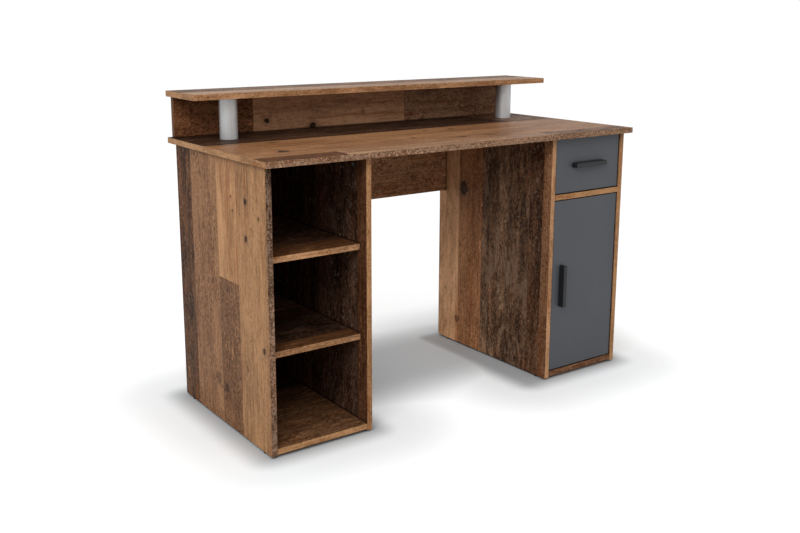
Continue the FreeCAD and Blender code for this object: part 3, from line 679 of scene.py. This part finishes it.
def hardboard():
    """Printed like the boards in front, bare pressed fibre with the mark of its mesh behind."""
    material, g, shader = new_material("hardboard", Specular_IOR_Level=0.25)
    here = coordinates(g)
    position = here["Object"]
    x, y, z = g.split(position)
    fibre = g.even_noise(position, 700, 6, 0.75, 0.8)
    weave = g.times(g.math("SINE", g.times(x, WEAVE)), g.math("SINE", g.times(z, WEAVE)))
    bare = g.mix(g.smooth(fibre, 0.32, 0.68), linear((104, 74, 50)), linear((146, 110, 78)))
    cloud = g.smooth(g.even_noise(position, 12, 4, 0.6), 0.35, 0.75, 0.0, 0.35)
    bare = g.mix(cloud, bare, linear((88, 62, 42)))

    place = g.times(x, PRINTED_PLANKS_A_METRE)
    step, in_plank = g.math("FLOOR", place), g.math("FRACT", place)
    to_joint = g.math("MINIMUM", in_plank, g.rest(in_plank))
    tint = g.smooth(g.noise(g.combine(step, 0.5, 3.3), 1, 0.5), 0.35, 0.65)
    values = {
        "Grain": g.combine(g.added(x, (step, 2.3)), g.added(z, (step, 5.1)), step),
        "Base": g.mix(tint, linear((92, 70, 54)), linear((132, 98, 72))),
        "Age": 0.8,
        "Flecks": 0.5,
        "Seam": g.smooth(to_joint, 0.003, 0.012, 1.0, 0.0),
    }
    old = g.add("ShaderNodeGroup", values, node_tree=OLD_WOOD).outputs
    is_front = g.math("LESS_THAN", g.split(here["Normal"])[1], -FACING)
    g.put(shader.inputs["Base Color"], g.mix(is_front, bare, old["Color"]))
    g.put(shader.inputs["Roughness"], g.added(0.60, (fibre, 0.20)))
    relief(g, shader, g.added(fibre, (weave, 0.10)), 0.00015, 0.5)
    return material


def laminate():
    """Pale laminate of the drawer box."""
    material, g, shader = new_material("drawer_board", Specular_IOR_Level=0.35)
    position = coordinates(g)["Object"]
    grain = g.noise(g.scaled(position, 60, 5, 400), 5, 0.65)
    stipple = g.even_noise(position, 1900, 2)
    tone = g.added(0.0, (grain, 0.7), (stipple, 0.3))
    colour = g.mix(g.smooth(tone, 0.3, 0.7), linear((206, 202, 194)), linear((222, 219, 212)))
    g.put(shader.inputs["Base Color"], colour)
    g.put(shader.inputs["Roughness"], g.added(0.44, (stipple, 0.12)))
    relief(g, shader, tone, 0.00005, 0.4)
    return material


def satin_metal(name, dark, light, stretch, rough, bump=0.4, metallic=1.0):
    """Metal brushed along one direction, which the stretch gives."""
    material, g, shader = new_material(name, Metallic=metallic)
    position = coordinates(g)["Object"]
    lines = g.noise(g.scaled(position, *stretch), 5, 0.7)
    cloud = g.even_noise(position, 30, 4, 0.6)
    tone = g.added(0.0, (lines, 0.65), (cloud, 0.35))
    g.put(shader.inputs["Base Color"], g.mix(g.smooth(tone, 0.3, 0.7), linear(dark), linear(light)))
    g.put(shader.inputs["Roughness"], g.added(rough, (tone, 0.16)))
    relief(g, shader, lines, 0.00004, bump)
    return material


def coated(name, dark, light, rough, scale=1500, mottle=60, specular=0.4):
    """Paint or moulded plastic with a fine skin. scale and mottle are cycles a metre."""
    material, g, shader = new_material(name, Specular_IOR_Level=specular)
    position = coordinates(g)["Object"]
    skin = g.even_noise(position, scale, 3, 0.6)
    cloud = g.even_noise(position, mottle, 5, 0.65)
    scuff = g.smooth(g.noise(g.scaled(position, 210, 210, 90), 7, 0.8), 0.60, 0.72)
    tone = g.added(0.0, (skin, 0.4), (cloud, 0.6))
    g.put(shader.inputs["Base Color"], g.mix(g.smooth(tone, 0.32, 0.68), linear(dark), linear(light)))
    g.put(shader.inputs["Roughness"], g.added(rough, (skin, 0.10), (scuff, 0.10)))
    relief(g, shader, g.added(skin, (scuff, -0.4)), 0.00005, 0.4)
    return material


MATERIALS = {
    "graphite_board": graphite(),
    "hardboard": hardboard(),
    "drawer_board": laminate(),
    "satin_aluminium": satin_metal("satin_aluminium", (186, 187, 188), (206, 206, 205), (1800, 1800, 6),
                                   0.38, bump=0.3, metallic=0.55),
    "black_handle": coated("black_handle", (24, 25, 26), (31, 32, 34), 0.38, 2200, 40, specular=0.32),
    "runner_enamel": coated("runner_enamel", (208, 208, 202), (222, 221, 216), 0.34, 700, 30),
    "white_plastic": coated("white_plastic", (206, 206, 200), (220, 219, 214), 0.42),
    "dark_plastic": coated("dark_plastic", (30, 28, 27), (44, 41, 39), 0.50),
    "zinc_steel": satin_metal("zinc_steel", (128, 128, 125), (162, 162, 157), (260, 260, 900), 0.34),
}
GROUPS = {
    "graphite_board": ["drawer_front", "door_panel"],
    "hardboard": ["left_back_panel", "right_back_panel", "drawer_bottom"],
    "drawer_board": ["drawer_side_left", "drawer_side_right", "drawer_back"],
    "satin_aluminium": ["post_tubes"],
    "black_handle": ["drawer_handle", "door_handle"],
    "runner_enamel": ["cabinet_runner_left", "cabinet_runner_right", "drawer_runner_left",
                      "drawer_runner_right"],
    "white_plastic": ["cabinet_roller_left", "cabinet_roller_right", "drawer_roller_left",
                      "drawer_roller_right", "door_bushes"],
    "dark_plastic": ["glides", "door_catch"],
    "zinc_steel": ["shelf_pins", "cabinet_roller_axles", "drawer_roller_axles", "door_pivot_pins",
                   "catch_strike"],
}
for slot_name, nodes in GROUPS.items():
    for node in nodes:
        dress(node, MATERIALS[slot_name])


# Small fasteners that the solids leave out

HEAD_SIDES = 28
# The outline of a head, as shares of its radius and of its height
DOME = ((1.0, -0.35), (1.0, 0.30), (0.93, 0.72), (0.80, 0.92), (0.62, 1.0))
# The cross recess: half the width of an arm as a share of its length, the floor's share of the width,
# and its height as a share of the head's
ARM_WIDTH = 0.28
FLOOR_WIDTH = 0.7
FLOOR_HEIGHT = 0.15


def round_rings(mesh, where, radius, height):
    """The domed side of a head, ring by ring, closed below."""
    rings = []
    for share, rise in DOME:
        ring = []
        for index in range(HEAD_SIDES):
            angle = 2 * math.pi * index / HEAD_SIDES
            x = math.cos(angle) * radius * share
            y = math.sin(angle) * radius * share
            ring.append(mesh.verts.new(where @ Vector((x, y, height * rise))))
        rings.append(ring)
    for lower, upper in zip(rings, rings[1:]):
        join(mesh, lower, upper)
    mesh.faces.new(list(reversed(rings[0])))
    return rings


def join(mesh, lower, upper):
    """A band of faces between two rings of as many points."""
    for index in range(len(lower)):
        following = (index + 1) % len(lower)
        mesh.faces.new((lower[index], lower[following], upper[following], upper[index]))


def ring_edges(mesh, ring):
    """The edges of a ring, from the one between its first two points."""
    return [mesh.edges.get(pair) for pair in zip(ring, ring[1:] + ring[:1])]


def head_mesh(mesh, place, normal, radius, height, cross):
    """One fastener head: a domed disc on the face, with a cross recess where cross is over zero."""
    turn = Vector((0, 0, 1)).rotation_difference(Vector(normal)).to_matrix().to_4x4()
    where = Matrix.Translation(Vector(place)) @ turn
    rings = round_rings(mesh, where, radius, height)
    if not cross:
        mesh.faces.new(rings[-1])
        return
    arm, half = radius * cross, radius * cross * ARM_WIDTH
    outline = []
    for quarter in range(4):
        spin = Matrix.Rotation(math.pi / 2 * quarter, 4, "Z")
        for x, y in ((half, half), (arm, half), (arm, -half)):
            outline.append(spin @ Vector((x, y, 0.0)))
    outline.sort(key=lambda point: math.atan2(point.y, point.x))
    rim, floor_lift = Vector((0, 0, height)), Vector((0, 0, height * FLOOR_HEIGHT))
    top = [mesh.verts.new(where @ (point + rim)) for point in outline]
    deep = [mesh.verts.new(where @ (point * FLOOR_WIDTH + floor_lift)) for point in outline]
    join(mesh, top, deep)
    mesh.faces.new(deep)
    mesh.edges.index_update()
    edges = ring_edges(mesh, rings[-1]) + ring_edges(mesh, top)
    bmesh.ops.triangle_fill(mesh, edges=edges, use_beauty=True, normal=Vector(normal))


def heads(name, body, spots, radius, height, cross, slot="zinc_steel"):
    """All the fastener heads of one kind on one body. spots: (place, the way its face looks)."""
    mesh = bmesh.new()
    for place, normal in spots:
        head_mesh(mesh, place, normal, radius, height, cross)
    bmesh.ops.recalc_face_normals(mesh, faces=mesh.faces)
    data = bpy.data.meshes.new(name)
    mesh.to_mesh(data)
    mesh.free()
    piece = bpy.data.objects.new(name, data)
    bpy.context.scene.collection.objects.link(piece)
    data.materials.append(MATERIALS[slot])
    for polygon in data.polygons:
        polygon.use_smooth = False
    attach(piece, body)


# Radius, height and cross recess of each kind of head. The recess is a share of the radius.
CAM = (0.0074, 0.0006, 0.42)
NAIL = (0.0024, 0.0007, 0.0)
RUNNER_SCREW = (0.0030, 0.0006, 0.5)
RAIL_SCREW = (0.0026, 0.0005, 0.5)
BOX_SCREW = (0.0032, 0.0006, 0.5)
BOX_CAM = (0.0052, 0.0005, 0.42)
POST_SCREW = (0.0050, 0.0014, 0.5)
CATCH_SCREW = (0.0022, 0.0006, 0.5)
STRIKE_SCREW = (0.0028, 0.00012, 0.5)
HANDLE_SCREW = (0.0042, 0.0022, 0.5)

# A cam lock's middle from the board that it draws up, and from the other edges of its own board
CAM_INSET = 0.024
CAM_FROM_END = 0.060
DIVIDER_CAM_FROM_FRONT = 0.115
RAIL_CAM_FROM_EDGE = 0.045
PANEL_CAMS = (-0.560, -0.190, 0.190, 0.560)
# Nails from a back panel's side edges, from its low edge and from its high one
NAIL_INSET = 0.006
LOWEST_NAIL = 0.020
HIGHEST_NAIL = 0.014
NAILS_A_SIDE = 8
# The steel of the runners, and the screws from the front end of a channel and of a drawer's angle
STEEL = 0.0012
RUNNER_SCREWS = (0.044, 0.204, 0.370)
RAIL_SCREWS = (0.034, 0.206, 0.356)
# Heights over the low edge of the drawer's sides
RUNNER_SCREW_RISE = 0.013
RAIL_SCREW_RISE = 0.0118
BOX_SCREW_RISES = (0.045, 0.095)
BOX_CAM_RISES = (0.037, 0.085)
# The other screws, from the edges of what they hold
POST_RADIUS = 0.025
CATCH_SCREW_INSET = 0.005
CATCH_SCREW_FROM_FRONT = 0.0078
HANDLE_SCREW_INSET = 0.015

LEFT, RIGHT, REAR, DOWN = (-1, 0, 0), (1, 0, 0), (0, 1, 0), (0, 0, -1)


def spread(low, high, count):
    return [low + (high - low) * index / (count - 1) for index in range(count)]


def crossings(xs, ys, zs, normal):
    """A head where each x, y and z meet."""
    return [((x, y, z), normal) for x in xs for y in ys for z in zs]


def ends(node, axis, inset):
    """Two places along an axis, one inside each end of a node by the inset."""
    low, high = box(node)
    return low[axis] + inset, high[axis] - inset


def cam_places():
    """Cam locks under the desktop and in the bottoms, the divider, the rail and the rear panel."""
    spots = []
    front, rear = ends("left_outer_side", 1, CAM_FROM_END)
    under_desktop = [box("desktop")[0][2] - CAM_INSET]
    for first, second in (("left_outer_side", "left_inner_side"), ("right_inner_side", "right_outer_side")):
        spots += crossings([box(first)[1][0]], (front, rear), under_desktop, RIGHT)
        spots += crossings([box(second)[0][0]], (front, rear), under_desktop, LEFT)
    for board in ("left_bottom", "right_bottom"):
        spots += crossings(ends(board, 0, CAM_INSET), (front, rear), [box(board)[0][2]], DOWN)
    low = box("drawer_divider")[0]
    rows = (low[1] + DIVIDER_CAM_FROM_FRONT, rear)
    spots += crossings(ends("drawer_divider", 0, CAM_INSET), rows, [low[2]], DOWN)
    spots += crossings(ends("modesty_rail", 0, CAM_INSET), [box("modesty_rail")[1][1]],
                       ends("modesty_rail", 2, RAIL_CAM_FROM_EDGE), REAR)
    spots += crossings(PANEL_CAMS, [box("rear_upper_panel")[1][1]],
                       ends("rear_upper_panel", 2, CAM_INSET), REAR)
    return spots


def nail_places():
    """Nails down both edges of each back panel, and two into the bottom."""
    spots = []
    for side in ("left", "right"):
        panel = side + "_back_panel"
        low, high = box(panel)
        sides = ends(panel, 0, NAIL_INSET)
        heights = spread(low[2] + LOWEST_NAIL, high[2] - HIGHEST_NAIL, NAILS_A_SIDE)
        spots += crossings(sides, [high[1]], heights, REAR)
        spots += crossings(spread(*sides, 4)[1:-1], [high[1]], [middle(side + "_bottom", 2)], REAR)
    return spots


def drawer_heads():
    """The heads at both runners and on the drawer box."""
    runner_screws, rail_screws, box_screws, box_cams = [], [], [], []
    base = box("drawer_side_left")[0][2]
    cam_row = box("drawer_side_left")[0][1] + CAM_INSET
    channel_front = box("cabinet_runner_left")[0][1]
    rail_front = box("drawer_runner_left")[0][1]
    for side, outer, inner, way in (("left", 0, 1, 1), ("right", 1, 0, -1)):
        wall = box("cabinet_runner_" + side)[outer][0]
        board = box("drawer_side_" + side)
        inward, outward = (way, 0, 0), (-way, 0, 0)
        runner_screws += crossings([wall + STEEL * way], [channel_front + y for y in RUNNER_SCREWS],
                                   [base + RUNNER_SCREW_RISE], inward)
        rail_screws += crossings([board[outer][0] - STEEL * way], [rail_front + y for y in RAIL_SCREWS],
                                 [base + RAIL_SCREW_RISE], outward)
        box_screws += crossings([board[outer][0]], [middle("drawer_back", 1)],
                                [base + rise for rise in BOX_SCREW_RISES], outward)
        box_cams += crossings([board[inner][0]], [cam_row], [base + rise for rise in BOX_CAM_RISES], inward)
    heads("runner_screws", "carcase", runner_screws, *RUNNER_SCREW)
    heads("rail_screws", "drawer", rail_screws, *RAIL_SCREW)
    heads("box_screws", "drawer", box_screws, *BOX_SCREW)
    heads("box_cams", "drawer", box_cams, *BOX_CAM)


def post_places():
    under_desktop = box("desktop")[0][2]
    return crossings(ends("post_tubes", 0, POST_RADIUS), [middle("post_tubes", 1)], [under_desktop], DOWN)


def catch_places():
    low = box("door_catch")[0]
    row = low[1] + CATCH_SCREW_FROM_FRONT
    return crossings(ends("door_catch", 0, CATCH_SCREW_INSET), [row], [low[2]], DOWN)


def strike_places():
    strike = "catch_strike"
    return crossings([middle(strike, 0)], [box(strike)[1][1]], [middle(strike, 2)], REAR)


def handle_places(handle, panel, length_axis):
    """Two screws through the panel's rear into the ends of a bar handle."""
    lines = {0: [middle(handle, 0)], 1: [box(panel)[1][1]], 2: [middle(handle, 2)]}
    lines[length_axis] = ends(handle, length_axis, HANDLE_SCREW_INSET)
    return crossings(lines[0], lines[1], lines[2], REAR)


heads("cam_heads", "carcase", cam_places(), *CAM)
heads("back_nails", "carcase", nail_places(), *NAIL)
drawer_heads()
heads("post_screws", "carcase", post_places(), *POST_SCREW)
heads("catch_screws", "carcase", catch_places(), *CATCH_SCREW)
heads("strike_screw", "door", strike_places(), *STRIKE_SCREW)
heads("drawer_handle_screws", "drawer", handle_places("drawer_handle", "drawer_front", 0), *HANDLE_SCREW)
heads("door_handle_screws", "door", handle_places("door_handle", "door_panel", 2), *HANDLE_SCREW)


# Camera, fitted to the desk's corners in the photo and tilted down. Angles are in degrees.

CAMERA_PLACE = (-1.6458, -2.2394, 1.0762)
CAMERA_TILT_DOWN = 11.832
CAMERA_TURN_RIGHT = 34.995
CAMERA_SHIFT = (0.0148, -0.06)
FOCAL_PIXELS = 957.86
PHOTO_WIDTH_PIXELS = 800
SENSOR_MILLIMETRES = 36.0
FARTHEST = 50.0

camera_data = bpy.data.cameras.new("camera")
camera = bpy.data.objects.new("camera", camera_data)
bpy.context.scene.collection.objects.link(camera)
camera.location = CAMERA_PLACE
camera.rotation_euler = (math.radians(90 - CAMERA_TILT_DOWN), 0.0, math.radians(-CAMERA_TURN_RIGHT))
camera_data.sensor_width = SENSOR_MILLIMETRES
camera_data.lens = FOCAL_PIXELS / PHOTO_WIDTH_PIXELS * SENSOR_MILLIMETRES
camera_data.shift_x, camera_data.shift_y = CAMERA_SHIFT
camera_data.clip_end = FARTHEST
bpy.context.scene.camera = camera


# Floor, background and light

FLOOR_SIZE = 12.0
FLOOR_DROP = 0.0005
# The ground shadow that the camera sees: (middle, half size, how far it fades, its light at the edge
# and after fading), for the left and the right pedestal and for the knee space
SHADOWS = (
    ((-0.465, 0.0), (0.15, 0.25), 0.09, 0.0, 0.38),
    ((0.44, 0.0), (0.175, 0.25), 0.09, 0.0, 0.38),
    ((0.0, 0.12), (0.32, 0.10), 0.26, 0.12, 0.42),
)
# Around each of them, a wide soft fade: where it starts and ends, and the light that it adds
FADE = (0.08, 0.36, 0.24)
# Half the height of a shadow's box, which only its sides bound
UNBOUNDED = 9.0
# How much less red and more blue the shadow is than grey
SHADOW_RED = -0.035
SHADOW_BLUE = 0.020

LIGHT_TARGET = (0, 0, 0.4)


def seen_directly(graph):
    """1 for what the camera sees and what a surface mirrors, 0 for the light that the desk receives."""
    path = graph.add("ShaderNodeLightPath").outputs
    return graph.greatest(path["Is Camera Ray"], path["Is Glossy Ray"], path["Is Transmission Ray"])


def clear_of_shadow(g, position):
    """How far the floor is out of the desk's shadow: 0 under a pedestal, and most well away from it."""
    clear = 1.0
    fade_start, fade_end, fade_light = FADE
    for centre, half, reach, start, end in SHADOWS:
        away = g.vector("ABSOLUTE", g.vector("SUBTRACT", position, (*centre, 0.0)))
        away = g.vector("MAXIMUM", g.vector("SUBTRACT", away, (*half, UNBOUNDED)), (0.0, 0.0, 0.0))
        away = g.vector("LENGTH", away)
        near = g.smooth(away, 0.0, reach, start, end)
        lit = g.math("ADD", near, g.smooth(away, fade_start, fade_end, 0.0, fade_light))
        clear = g.math("MINIMUM", clear, lit)
    return clear


def floor():
    mesh = bmesh.new()
    bmesh.ops.create_grid(mesh, x_segments=2, y_segments=2, size=FLOOR_SIZE)
    data = bpy.data.meshes.new("floor")
    mesh.to_mesh(data)
    mesh.free()
    piece = bpy.data.objects.new("floor", data)
    bpy.context.scene.collection.objects.link(piece)
    piece.location = (0, 0, -FLOOR_DROP)
    material, g, shader = new_material("floor", Roughness=1.0, Specular_IOR_Level=0.0, Emission_Color=WHITE)
    position = coordinates(g)["Object"]
    seen = seen_directly(g)
    clear = clear_of_shadow(g, position)
    seen_clear = g.times(seen, clear)
    tone = g.smooth(g.even_noise(position, 3, 3), 0.2, 0.8, 0.60, 0.62)
    tone = g.added(tone, (seen_clear, 0.32))
    shade = g.times(seen, g.rest(clear))
    red = g.times(tone, g.added(1.0, (shade, SHADOW_RED)))
    blue = g.times(tone, g.added(1.0, (shade, SHADOW_BLUE)))
    g.put(shader.inputs["Base Color"], g.combine(red, tone, blue))
    g.put(shader.inputs["Emission Strength"], seen_clear)
    data.materials.append(material)


def sky():
    """White to the camera, half as bright as light on the desk."""
    world = bpy.data.worlds.new("studio")
    bpy.context.scene.world = world
    world.use_nodes = True
    g = Graph(world.node_tree)
    background = world.node_tree.nodes["Background"]
    background.inputs["Color"].default_value = WHITE
    g.put(background.inputs["Strength"], g.added(0.50, (seen_directly(g), 0.50)))


def softbox(name, place, size, power):
    data = bpy.data.lights.new(name, "AREA")
    data.shape = "RECTANGLE"
    data.size, data.size_y = size
    data.energy = power
    lamp = bpy.data.objects.new(name, data)
    bpy.context.scene.collection.objects.link(lamp)
    lamp.location = place
    lamp.rotation_euler = (Vector(LIGHT_TARGET) - Vector(place)).to_track_quat("-Z", "Y").to_euler()


floor()
sky()
softbox("key", place=(-2.6, -2.4, 3.2), size=(2.6, 2.0), power=84.0)
softbox("fill", place=(2.2, -3.0, 1.6), size=(2.4, 2.0), power=6.0)
bpy.context.scene.view_settings.view_transform = "Standard"
